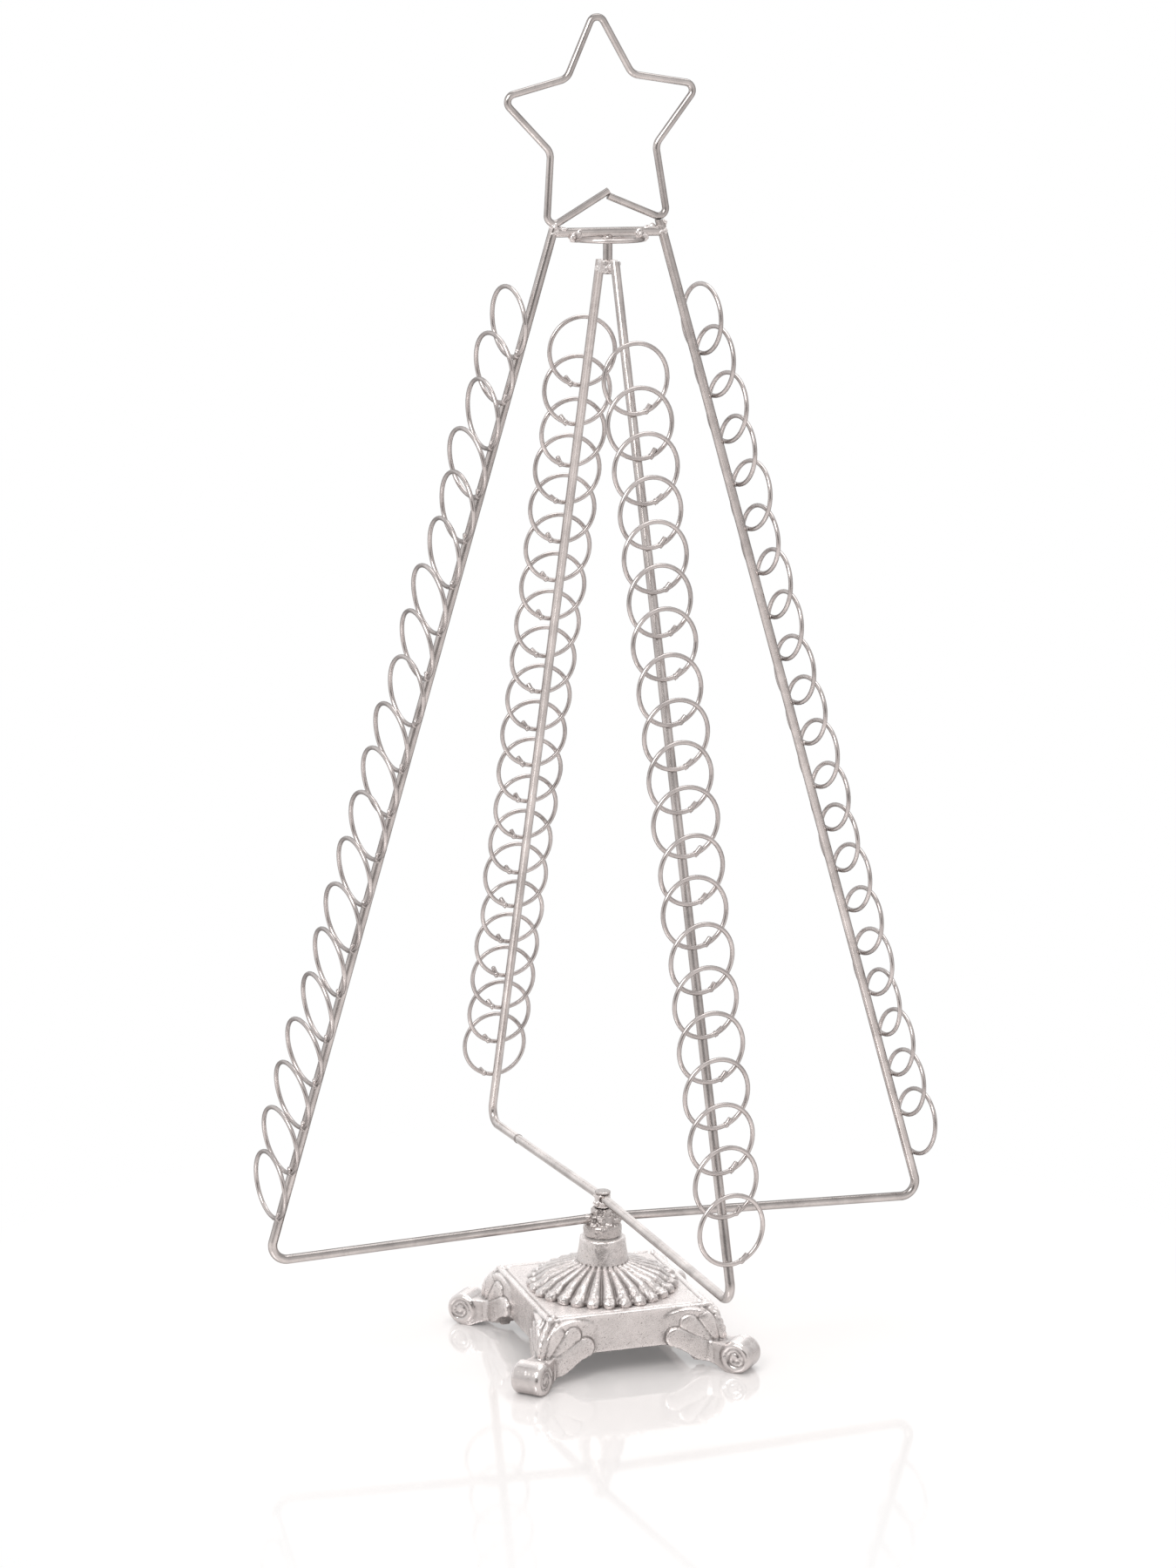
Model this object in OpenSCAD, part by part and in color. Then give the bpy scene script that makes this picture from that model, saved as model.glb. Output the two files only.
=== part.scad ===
// Greeting card holder: two crossed wire tree frames with card rings, a wire star and a cast scroll-footed base.
// Axis of the tree on +Z, floor at z = 0, outer frame along X, sizes in millimetres.

/* [Wire] */
// thickness of the frame and crossbar wire
wire_d = 4.8; // [3.6:0.1:5.2]
// thickness of the star wire
star_wire_d = 3.6; // [3.2:0.1:4.6]
// thickness of the card ring wire
ring_wire_d = 2.3; // [1.8:0.1:2.8]
// centreline radius of the bend at the foot of each frame
corner_bend = 8; // [6:0.5:14]

/* [Outer frame] */
// half width of the outer frame at its foot, before the corner is rounded
outer_half = 184; // [150:1:216]
// half width of the outer frame at the crossbar
outer_top_half = 29.4; // [25:0.2:34]
// height of the outer rails from corner to crossbar
outer_rise = 529; // [440:1:620]
// how far the outer bar falls from the hub to the corner
outer_droop = 6; // [2:0.5:9]

/* [Inner frame] */
// half width of the inner frame at its foot, before the corner is rounded
inner_half = 167.5; // [135:0.5:180]
// half width of the inner frame at its top eye
inner_top_half = 10.4; // [9:0.2:14]
// distance of the inner frame top below the crossbar centre
inner_drop = 17.2; // [15:0.2:26]
// how far the inner bar falls from the bush to the corner
inner_droop = 4.6; // [2:0.2:8]
// angle between the two frames as shown
inner_angle = 86; // [60:1:120]

/* [Card rings] */
// outside diameter of a card ring
ring_od = 38; // [32:0.5:42]
// rings on each rail
ring_count = 20; // [12:1:22]
// height from the crossbar down to the first ring of the outer rows
outer_ring_head = 63; // [56:1:80]
// height from the inner rail top down to the first ring of the inner rows
inner_ring_head = 69; // [62:1:84]
// height from the frame corner up to the last ring
ring_foot = 23.5; // [20:0.5:40]
// how much the near inner row sits low and the far inner row sits high
inner_stagger = 3.8; // [0:0.2:5]
// outward lean of the left outer rings from upright
left_lean = 7; // [0:0.5:10]
// outward lean of the right outer rings from upright
right_lean = 1; // [0:0.5:10]
// outward lean of the near inner rings from upright
near_lean = 1; // [0:0.5:8]
// inward lean of the far inner rings from upright
far_lean = 4; // [0:0.5:6]
// turn of the outer rings out of square with their frame
outer_turn = 11; // [0:1:14]
// turn of the near inner rings out of square with their frame
near_turn = 5; // [0:1:10]
// hand-set scatter of lean and turn
ring_scatter = 3; // [0:0.5:4]
// radius of the bead where a ring's ends meet
ring_bead = 1.6; // [1.4:0.1:2]

/* [Star] */
// tip radius of the star before rounding
star_tip = 60; // [48:0.5:68]
// notch radius of the star before rounding
star_notch = 32; // [27:0.5:36]
// width of the star against its height
star_narrow = 0.92; // [0.88:0.01:1]
// sideways lean of the star
star_lean = 3.5; // [0:0.5:4]
// sideways offset of the star from the axis
star_shift = -3.2; // [-4:0.2:3]
// centreline bend radius at the tips
star_tip_bend = 4; // [3.4:0.2:5]
// centreline bend radius at the notches
star_notch_bend = 7; // [4:0.5:9]

/* [Base] */
// side of the square plinth
plinth_side = 91; // [84:0.5:110]
// height of the plinth top above the floor
plinth_h = 34.2; // [31:0.2:40]
// wall of the hollow plinth
plinth_wall = 5; // [4:0.5:7]
// height of the arch between the legs
arch_h = 13.5; // [10:0.5:16]
// half length of the flat part of the arch
arch_flat = 17; // [12:0.5:20]
// radius of the scroll feet
scroll_r = 8.8; // [7.6:0.1:9.6]
// distance of the scroll feet from the plinth corners
scroll_out = 17.6; // [14:0.2:22]
// width of a scroll foot
scroll_w = 17.5; // [16:0.5:20]
// width of a leg at its waist above the scroll
waist_w = 13.2; // [11:0.2:15]
// length of the leaves along each side of the plinth, from the corner
leaf_len = 27; // [24:0.5:30]
// how far the leaves stand out beyond the plinth corner
leaf_out = 7.8; // [6:0.2:9]
// width of the rib down a leg
rib_w = 3.2; // [2.4:0.2:4]
// rim radius of the fluted dome
dome_r = 41; // [37:0.5:43]
// number of flutes round the dome
flute_count = 28; // [24:1:32]
// rise of the dome from the plinth to the neck
dome_h = 14.4; // [11:0.2:16]
// neck radius at the bottom
neck_r1 = 14.2; // [13.5:0.1:15.5]
// neck radius at the top
neck_r2 = 12.2; // [11.6:0.1:13]
// height of the neck
neck_h = 12.9; // [11:0.1:22]

/* [Hub and pivots] */
// radius of the swivel hub
hub_r = 10.2; // [9.4:0.1:11.5]
// height of the hub up to its shoulder
hub_h = 6.8; // [5:0.2:8]
// spindle diameter
spindle_d = 8; // [6:0.2:9.6]
// running clearance on every pivot, radial
run_gap = 0.06; // [0.03:0.01:0.1]
// diameter of the lower pivot pin
pin_d = 4; // [3:0.1:4.2]
// diameter of the flat pin head
pin_head_d = 8.5; // [7.6:0.1:9.5]
// outside diameter of the lower bush
bush_d = 8.5; // [8:0.1:9.5]

/* [Hidden] */
$fn = 64;
wr = wire_d / 2;
sr = star_wire_d / 2;
rr = ring_wire_d / 2;
weld = 0.03;
lap = 0.3;
bead_swell = 1.04;
bend_swell = 0.02;
half = plinth_side / 2;
corner = half * sqrt(2);
scroll_reach = corner + scroll_out;
haunch_r = 15.6;
haunch_x = corner + leaf_out - haunch_r;
haunch_z = plinth_h - 16.8;
flare = atan(leaf_out / sqrt(2) / (leaf_len + leaf_out / sqrt(2)));
dome_top = plinth_h + dome_h;
neck_top = dome_top + neck_h;
collar_h = 0.8;
hub_z = neck_top + collar_h + 0.05;
shoulder_z = hub_z + hub_h;
outer_z = shoulder_z + wr + 0.45;
boss_top = outer_z + wr + 3;
boss_r = 6.2;
bush_z = boss_top + 0.4;
inner_z = bush_z + wr + 2.6;
bush_top = inner_z + wr - 0.2;
head_z = inner_z + wr + 0.4;
head_h = 1.1;
corner_o = outer_z - outer_droop;
corner_i = inner_z - inner_droop;
cross_z = corner_o + outer_rise;
top_i = cross_z - inner_drop;
slope_o = (outer_half - outer_top_half) / outer_rise;
slope_i = (inner_half - inner_top_half) / (top_i - corner_i);
rail_top = cross_z + wr + 0.25;
eye_h = 6;
eye_r = 5;
ring_c = ring_od / 2 - rr;
star_z = rail_top + weld - low_of(star_point(3), star_point(4), star_point(5));
rail_top_r = star_z + low_of(star_start(), star_point(6), star_point(7)) - weld;

// Star corners in order, even ones tips and odd ones notches, leaning about the star's middle.
function star_raw(k) = (k % 2 == 0 ? star_tip : star_notch) * [star_narrow * cos(90 + 36 * k), sin(90 + 36 * k)];
function star_turn(p) = [p.x * cos(star_lean) - p.y * sin(star_lean), p.x * sin(star_lean) + p.y * cos(star_lean)];
function star_point(k) = star_turn(star_raw(k));
function star_start() = let (p = star_point(5)) p + unit(star_point(6) - p) * sr * 0.8 - [0, sr * 0.6];
function unit(v) = v / norm(v);
function turn(a, b, c) = let (u = unit(b - a), v = unit(c - b)) atan2(u.x * v.y - u.y * v.x, u * v);
function setback(a, b, c, r) = r * tan(abs(turn(a, b, c)) / 2);
function left_of(v) = [-v.y, v.x];
function bend_mid(a, b, c, r) = let (u = unit(b - a)) b - u * setback(a, b, c, r) + left_of(u) * r * sign(turn(a, b, c));
function low_of(a, b, c) = bend_mid(a, b, c, star_tip_bend).y - star_tip_bend - sr - bend_swell;
function rail_o(z) = outer_half - slope_o * (z - corner_o);
function rail_i(z) = inner_half - slope_i * (z - corner_i);
function arch_r() = arch_h + 10.5;

// Round wire from point a to point b of the XZ plane.
module seg(a, b, r) {
    translate([a.x, 0, a.y])
        rotate([0, atan2(b.x - a.x, b.y - a.y), 0])
            cylinder(r = r, h = norm(b - a));
}

// Round bend of the XZ plane at corner b between points a and c.
module bend(a, b, c, rb, r) {
    m = bend_mid(a, b, c, rb);
    t = setback(a, b, c, rb);
    s = b - unit(b - a) * t - m;
    e = b + unit(c - b) * t - m;
    from = turn(a, b, c) > 0 ? s : e;
    translate([m.x, 0, m.y])
        rotate([90, 0, 0])
            rotate([0, 0, atan2(from.y, from.x)])
                rotate_extrude(angle = abs(turn(a, b, c)))
                    translate([rb, 0])
                        circle(r);
}

// Bent wire through a row of points, with a centreline bend radius for each inner point.
module wire_path(pts, bends, r) {
    n = len(pts) - 1;
    lead = [for (i = [0 : n]) i == 0 || i == n ? 0 : setback(pts[i - 1], pts[i], pts[i + 1], bends[i])];
    for (i = [0 : n - 1]) {
        u = unit(pts[i + 1] - pts[i]);
        a = pts[i] + u * (lead[i] > 0 ? lead[i] - lap : 0);
        b = pts[i + 1] - u * (lead[i + 1] > 0 ? lead[i + 1] - lap : 0);
        seg(a, b, r);
    }
    for (i = [1 : n - 1])
        bend(pts[i - 1], pts[i], pts[i + 1], bends[i], r + bend_swell);
}

module torus(rc, r) {
    rotate_extrude()
        translate([rc, 0])
            circle(r);
}

// One half of a frame on the +X side: bar, corner bend and rail, the rail cut level at its top.
module frame_half(start, bar_z, half_w, corner_z, top_half, top_z) {
    far = [top_half, top_z] + ([top_half, top_z] - [half_w, corner_z]) * 0.02;
    difference() {
        wire_path([[start, bar_z - (bar_z - corner_z) * start / half_w], [half_w, corner_z], far],
            [0, corner_bend, 0], wr);
        translate([-2 * wire_d, -2 * wire_d, top_z])
            cube([half_w, 4 * wire_d, 60]);
    }
}

module outer_half_wire(top) {
    frame_half(pin_d / 2 + 0.6, outer_z, outer_half, corner_o, rail_o(top), top);
}

module inner_half_wire() {
    frame_half(bush_d / 2 - 1, inner_z, inner_half, corner_i, rail_i(top_i + 3), top_i + 3);
}

// Rail axes of a frame on the +X side, thick enough to cut seats into what is welded to them.
module outer_rail_seat() {
    seg([rail_o(cross_z - 30), cross_z - 30], [rail_o(cross_z + 30), cross_z + 30], wr + weld);
}

module inner_rail_seat() {
    seg([rail_i(top_i - 20), top_i - 20], [rail_i(top_i + 20), top_i + 20], wr + weld);
}

// One card ring standing on its lowest point, facing +X, with the bead where its ends meet.
module card_ring() {
    rotate([90, 0, 90])
        translate([0, ring_c, 0]) {
            torus(ring_c, rr);
            rotate([0, 0, -70])
                translate([ring_c, 0, 0])
                    sphere(ring_bead);
        }
}

// Row of rings welded up the outside of a rail on the +X side.
module ring_row(half_w, corner_z, slope, first_z, last_z, lean, turned, seed) {
    pitch = (first_z - last_z) / (ring_count - 1);
    tilt = atan(slope);
    leans = rands(-ring_scatter, ring_scatter, ring_count, seed);
    turns = rands(-ring_scatter, ring_scatter, ring_count, seed + 1);
    slips = rands(-0.25, 0.25, ring_count, seed + 2);
    for (i = [0 : ring_count - 1]) {
        z = first_z - i * pitch + slips[i] * ring_scatter;
        off = (wr + rr + weld) / cos(turned + turns[i]);
        translate([half_w - slope * (z - corner_z) + off * cos(tilt), 0, z + off * sin(tilt)])
            rotate([0, 0, turned + turns[i]])
                rotate([0, lean + leans[i], 0])
                    card_ring();
    }
}

module outer_rings(lean, seed) {
    ring_row(outer_half, corner_o, slope_o, cross_z - outer_ring_head, corner_o + ring_foot, lean, outer_turn, seed);
}

module inner_rings(lift, lean, turned, seed) {
    ring_row(inner_half, corner_i, slope_i, top_i - inner_ring_head + lift, corner_i + ring_foot + lift, lean, turned,
        seed);
}

// Opening under the apron seen along one side of the plinth.
module arch() {
    rotate([90, 0, 0])
        linear_extrude(height = 3 * plinth_side, center = true) {
            translate([-arch_flat, -20])
                square([2 * arch_flat, arch_h + 20]);
            for (sx = [-1, 1])
                translate([sx * arch_flat, arch_h - arch_r()])
                    circle(arch_r());
        }
}

// Barrel with rounded rims lying along Y.
module barrel(r, w, edge) {
    rotate([90, 0, 0])
        rotate_extrude() {
            translate([0, -w / 2])
                square([r - edge, w]);
            translate([0, edge - w / 2])
                square([r, w - 2 * edge]);
            for (sy = [-1, 1])
                translate([r - edge, sy * (w / 2 - edge)])
                    circle(edge);
        }
}

// Spiral groove of half turns, from the leg over the top and in towards the eye.
module spiral() {
    step = 0.12 * scroll_r;
    for (i = [0 : 3])
        translate([step * (i % 2), 0, 0])
            rotate([0, 0, 180 * i - 2])
                rotate_extrude(angle = 184)
                    translate([0.62 * scroll_r - step * i, 0])
                        circle(0.8 + bend_swell * (i % 2));
}

// Scroll foot with a spiral groove in each end.
module scroll() {
    difference() {
        barrel(scroll_r, scroll_w, 2.8);
        for (sy = [-1, 1])
            translate([0, sy * scroll_w / 2, 0])
                rotate([90, 0, 0])
                    spiral();
    }
}

// Hollow curve under a leg along +X, from the apron down to the scroll.
module under_leg() {
    translate([scroll_reach - 25.5, 0, -38])
        rotate([90, 0, 0])
            cylinder(r = 43, h = 2 * plinth_side, center = true);
}

// Corner leg along +X: a haunch that narrows from both sides of the plinth to a rib, a waist and a scroll.
module leg() {
    back = leaf_len / sqrt(2);
    difference() {
        union() {
            intersection() {
                translate([haunch_x, 0, haunch_z])
                    rotate([90, 0, 0])
                        cylinder(r = haunch_r, h = 3 * leaf_len, center = true);
                linear_extrude(height = plinth_h - 0.6)
                    polygon([[corner + leaf_out, -rib_w / 2], [corner + leaf_out, rib_w / 2], [corner - back, back],
                        [corner - leaf_len, 0], [corner - back, -back]]);
            }
            translate([haunch_x, 0, haunch_z])
                barrel(haunch_r + 0.8, rib_w, 1);
            linear_extrude(height = scroll_r * 1.72)
                polygon([[half, -7], [scroll_reach - 13, -waist_w / 2], [scroll_reach - 4, -scroll_w / 2 + 0.8],
                    [scroll_reach, -scroll_w / 2 + 0.8], [scroll_reach, scroll_w / 2 - 0.8],
                    [scroll_reach - 4, scroll_w / 2 - 0.8], [scroll_reach - 13, waist_w / 2], [half, 7]]);
        }
        under_leg();
    }
    translate([scroll_reach, 0, scroll_r - 0.3])
        scroll();
}

// One leaf lobe on the flared side, its root low beside the leg.
module lobe(a, reach, w, proud) {
    translate([leaf_len + 0.5, -6, 7])
        rotate([-90, 0, 0])
            rotate([0, 0, 180 + a])
                linear_extrude(height = 6 + proud) {
                    translate([0, -w])
                        square([reach, 2 * w]);
                    translate([reach, 0])
                        circle(w);
                }
}

// Three overlapping lobes on the +Y side by the corner at +X, the lowest one proudest.
module leaf() {
    difference() {
        translate([half - leaf_len, half, 0])
            rotate([0, 0, flare])
                difference() {
                    union() {
                        lobe(78, 19.6, 4.6, 0.7);
                        lobe(53, 22.2, 5, 1.25);
                        lobe(27, 23, 5.6, 1.8);
                    }
                    translate([-leaf_len, -2 * leaf_len, plinth_h - 1])
                        cube([3 * leaf_len, 3 * leaf_len, 20]);
                }
        rotate([0, 0, 45])
            translate([0, -2 * half, -1])
                cube([4 * half, 2 * half, 2 * plinth_h]);
        translate([-half, -half, -40 + 3])
            cube([3 * half, 3 * half, 40]);
        rotate([0, 0, 45])
            under_leg();
        arch();
    }
}

module plinth() color("silver") {
    difference() {
        union() {
            translate([-half, -half, 3])
                cube([plinth_side, plinth_side, plinth_h - 3]);
            for (k = [0 : 3])
                rotate([0, 0, 90 * k]) {
                    rotate([0, 0, 45])
                        leg();
                    leaf();
                    mirror([1, 0, 0])
                        leaf();
                }
        }
        arch();
        rotate([0, 0, 90])
            arch();
        translate([plinth_wall - half, plinth_wall - half, -1])
            cube([plinth_side - 2 * plinth_wall, plinth_side - 2 * plinth_wall, plinth_h - plinth_wall - 0.8]);
        cylinder(r = spindle_d / 2 + 0.05, h = plinth_h + 1);
        translate([-150, -150, -30])
            cube([300, 300, 30]);
        difference() {
            translate([3 - half, 3 - half, plinth_h - 0.4])
                cube([plinth_side - 6, plinth_side - 6, 1]);
            translate([3.7 - half, 3.7 - half, plinth_h - 1])
                cube([plinth_side - 7.4, plinth_side - 7.4, 3]);
        }
    }
}

// Flutes run down from the neck and end in rounded beads at the rim.
module fluted_dome() color("silver") {
    fill = 0.94 * sin(180 / flute_count);
    mid = dome_r / (1 + bead_swell * fill);
    flute_r2 = fill * mid;
    p1 = [neck_r1 - 2, dome_top - fill * (neck_r1 - 2)];
    p2 = [mid, plinth_h + 0.62 * flute_r2];
    flute_r1 = fill * p1.x;
    floor_rise = 0.4;
    difference() {
        union() {
            rotate_extrude()
                polygon([[0, plinth_h], [p2.x, plinth_h], [p2.x, p2.y + floor_rise], [p1.x, p1.y + floor_rise],
                    [neck_r1 - 0.4, dome_top], [neck_r2, neck_top - 0.6], [neck_r2 - 0.6, neck_top], [0, neck_top]]);
            for (k = [0 : flute_count - 1])
                rotate([0, 0, 360 / flute_count * k]) {
                    translate([p1.x, 0, p1.y])
                        rotate([0, atan2(p2.x - p1.x, p2.y - p1.y), 0])
                            cylinder(r1 = flute_r1, r2 = flute_r2, h = norm(p2 - p1));
                    translate([p2.x, 0, p2.y])
                        rotate([0, 30, 180])
                            sphere(bead_swell * flute_r2);
                }
        }
        translate([-60, -60, plinth_h - 30])
            cube([120, 120, 30]);
        cylinder(r = spindle_d / 2 + 0.05, h = neck_top + 1);
    }
}

module spindle() color("gray") {
    translate([0, 0, plinth_h - plinth_wall - 12])
        cylinder(d = spindle_d, h = shoulder_z - 0.3 - (plinth_h - plinth_wall - 12));
    translate([0, 0, neck_top])
        cylinder(r = hub_r - 1.2, h = collar_h);
}

module spindle_washer() color("gray") {
    translate([0, 0, plinth_h - plinth_wall - 1.8 - 1.6])
        difference() {
            cylinder(r = spindle_d / 2 + 5, h = 1.6);
            translate([0, 0, -1])
                cylinder(r = spindle_d / 2 + 0.1, h = 4);
        }
}

module spindle_nut() color("gray") {
    translate([0, 0, plinth_h - plinth_wall - 1.8 - 1.6 - 6.5])
        difference() {
            cylinder(r = spindle_d * 0.94, h = 6.5, $fn = 6);
            translate([0, 0, -1])
                cylinder(r = spindle_d / 2 + 0.03, h = 9);
        }
}

module swivel_hub() color("silver") {
    difference() {
        rotate_extrude() {
            translate([0, hub_z])
                square([hub_r - 2, hub_h]);
            translate([0, hub_z + 0.6])
                square([hub_r, hub_h - 2.6]);
            translate([0, hub_z])
                polygon([[0, 0], [hub_r - 0.6, 0], [hub_r, 0.6], [0, 0.6]]);
            translate([hub_r - 2, shoulder_z - 2])
                circle(2);
            polygon([[0, shoulder_z - 1.2], [hub_r - 1.2, shoulder_z - 1.2], [boss_r + 0.7, outer_z + 1.4],
                [0, outer_z + 1.4]]);
            translate([0, hub_z])
                square([boss_r, boss_top - hub_z - 0.8]);
            translate([0, hub_z])
                square([boss_r - 0.8, boss_top - hub_z]);
        }
        translate([0, 0, hub_z - 1])
            cylinder(r = spindle_d / 2 + run_gap, h = hub_h + 1.2);
        translate([0, 0, outer_z - 1])
            cylinder(r = pin_d / 2 + weld, h = boss_top);
        for (a = [0, 180])
            rotate([0, 0, a])
                seg([pin_d / 2 + 0.57, outer_z - outer_droop * (pin_d / 2 + 0.57) / outer_half], [outer_half / 4,
                    outer_z - outer_droop / 4], wr + weld);
    }
}

module outer_left_wire() color("silver") {
    rotate([0, 0, 180])
        outer_half_wire(rail_top);
}

module outer_right_wire() color("silver") {
    outer_half_wire(rail_top_r);
}

module crossbar_rod(r) {
    reach = rail_o(cross_z) - wr * 0.5;
    translate([-reach, 0, cross_z])
        rotate([0, 90, 0])
            cylinder(r = r, h = 2 * reach);
}

module top_crossbar() color("silver") {
    difference() {
        crossbar_rod(wr);
        for (a = [0, 180])
            rotate([0, 0, a])
                outer_rail_seat();
    }
}

module star() color("silver") {
    apex = star_point(5);
    to = apex + unit(apex - star_point(4)) * sr;
    pts = concat([star_start()], [for (k = [6 : 14]) star_point(k)], [to]);
    bends = [for (k = [5 : 15]) k % 2 == 0 ? star_tip_bend : star_notch_bend];
    translate([star_shift, 0, star_z])
        wire_path(pts, bends, sr);
}

module top_ring() color("silver") {
    translate([0, 0, cross_z - wr - rr - weld])
        torus(ring_c, rr);
}

module top_pivot_pin() color("silver") {
    difference() {
        translate([0, 0, top_i - 4])
            cylinder(r = wr, h = cross_z - wr * 0.5 - top_i + 4);
        crossbar_rod(wr + weld);
    }
}

module lower_pivot_pin() color("silver") {
    translate([0, 0, outer_z - 1])
        cylinder(d = pin_d, h = head_z - outer_z + 1);
    translate([0, 0, head_z])
        cylinder(d = pin_head_d, h = head_h - 0.4);
    translate([0, 0, head_z + head_h - 0.4])
        cylinder(d1 = pin_head_d, d2 = pin_head_d - 1.4, h = 0.4);
}

module outer_left_rings() color("silver") {
    rotate([0, 0, 180])
        outer_rings(left_lean, 11);
}

module outer_right_rings() color("silver") {
    outer_rings(right_lean, 37);
}

module inner_near_wire() color("silver") {
    rotate([0, 0, -inner_angle])
        inner_half_wire();
}

module inner_far_wire() color("silver") {
    rotate([0, 0, 180 - inner_angle])
        inner_half_wire();
}

module lower_pivot_bush() color("silver") {
    difference() {
        translate([0, 0, bush_z])
            cylinder(d = bush_d, h = bush_top - bush_z);
        cylinder(r = pin_d / 2 + run_gap, h = 2 * bush_top);
        for (a = [0, 180])
            rotate([0, 0, a - inner_angle])
                seg([bush_d / 2 - 1.03, inner_z - inner_droop * (bush_d / 2 - 1.03) / inner_half], [inner_half / 4,
                    inner_z - inner_droop / 4], wr + weld);
    }
}

module top_pivot_eye() color("silver") {
    rotate([0, 0, -inner_angle])
        difference() {
            union() {
                translate([0, 0, top_i - 3])
                    cylinder(r = eye_r, h = eye_h);
                translate([0.5 * wr - rail_i(top_i), -wr * 0.9, top_i - 1.6])
                    cube([2 * rail_i(top_i) - wr, 1.8 * wr, 4.4]);
            }
            translate([0, 0, top_i - 10])
                cylinder(r = wr + run_gap, h = 30);
            for (a = [0, 180])
                rotate([0, 0, a])
                    inner_rail_seat();
        }
}

module inner_near_rings() color("silver") {
    rotate([0, 0, -inner_angle])
        inner_rings(-inner_stagger, near_lean, near_turn, 23);
}

module inner_far_rings() color("silver") {
    rotate([0, 0, 180 - inner_angle])
        inner_rings(inner_stagger, -far_lean, -near_turn / 2, 53);
}

plinth();
fluted_dome();
spindle();
spindle_washer();
spindle_nut();
swivel_hub();
outer_left_wire();
outer_right_wire();
top_crossbar();
star();
top_ring();
top_pivot_pin();
lower_pivot_pin();
outer_left_rings();
outer_right_rings();
inner_near_wire();
inner_far_wire();
lower_pivot_bush();
top_pivot_eye();
inner_near_rings();
inner_far_rings();
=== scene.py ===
"""Greeting card holder: the looks of a wire card tree and its cast base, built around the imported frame."""

import math
import random

import bmesh
import bpy
import numpy as np
from bpy.props import FloatProperty, FloatVectorProperty, IntProperty, PointerProperty
from mathutils import Matrix, Vector


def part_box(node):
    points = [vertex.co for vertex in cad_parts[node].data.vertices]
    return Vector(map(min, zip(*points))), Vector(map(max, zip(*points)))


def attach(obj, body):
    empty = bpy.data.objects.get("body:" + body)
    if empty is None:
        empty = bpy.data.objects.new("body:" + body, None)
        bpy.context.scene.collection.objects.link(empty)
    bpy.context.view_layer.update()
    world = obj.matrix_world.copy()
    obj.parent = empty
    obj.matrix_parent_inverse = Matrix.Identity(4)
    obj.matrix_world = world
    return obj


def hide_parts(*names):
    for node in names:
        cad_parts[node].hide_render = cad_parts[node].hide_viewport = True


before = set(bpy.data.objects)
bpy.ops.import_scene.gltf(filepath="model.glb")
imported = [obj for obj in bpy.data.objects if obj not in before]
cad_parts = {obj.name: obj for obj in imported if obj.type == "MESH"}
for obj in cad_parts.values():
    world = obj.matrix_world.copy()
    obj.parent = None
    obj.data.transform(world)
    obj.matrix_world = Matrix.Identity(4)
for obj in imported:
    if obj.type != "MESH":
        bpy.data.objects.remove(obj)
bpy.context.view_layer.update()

bl_info = {
    "name": "Greeting card holder",
    "version": (1, 0, 0),
    "blender": (4, 5, 0),
    "location": "3D View > Sidebar > Card holder",
    "description": "Cast base, welds, ring joints and finishes of a wire card tree",
    "category": "Add Mesh",
}

MM = 0.001
RING_ROWS = {
    "outer_left_rings": "outer_frame",
    "outer_right_rings": "outer_frame",
    "inner_near_rings": "inner_frame",
    "inner_far_rings": "inner_frame",
}
FRAME_WIRES = ("outer_left_wire", "outer_right_wire", "top_crossbar", "star", "top_pivot_pin")
INNER_WIRES = ("inner_near_wire", "inner_far_wire")
HARDWARE = ("spindle", "spindle_washer", "spindle_nut")
INNER_TURN = math.radians(-86.0)
DARK_SIDE = (-0.42, -0.907, 0.0)
RING_RADIUS = 17.85 * MM
WIRE_RADIUS = 2.4 * MM
HUB_SHADE = 0.86
PLINTH_HALF = 45.5 * MM
PLINTH_HOLLOW = (42 * MM, 31 * MM)
FEET_START = 66 * MM
FEET_TOP = 17 * MM
PETALS = ((78.0, 19.6, 4.6), (53.0, 22.2, 5.0), (27.0, 23.0, 5.6))
PETAL_LINE = 0.35 * MM
LEG_CENTRE = (56.55 * MM, 17.4 * MM)
LEG_RADIUS = 16 * MM
NECK_RADIUS = 13 * MM


def length_setting(name, description, size):
    """A length with its default in mm."""
    return FloatProperty(name=name, description=description, default=size * MM, unit="LENGTH")


def angle_setting(name, description, degrees):
    """An angle with its default in degrees."""
    return FloatProperty(name=name, description=description, default=math.radians(degrees), subtype="ANGLE")


def power_setting(name, description, watts):
    """A lamp's power with its default in watts."""
    return FloatProperty(name=name, description=description, default=watts, unit="POWER")


def colour_setting(name, description, colour):
    """A colour with its default."""
    return FloatVectorProperty(name=name, description=description, default=colour, subtype="COLOR")


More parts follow.
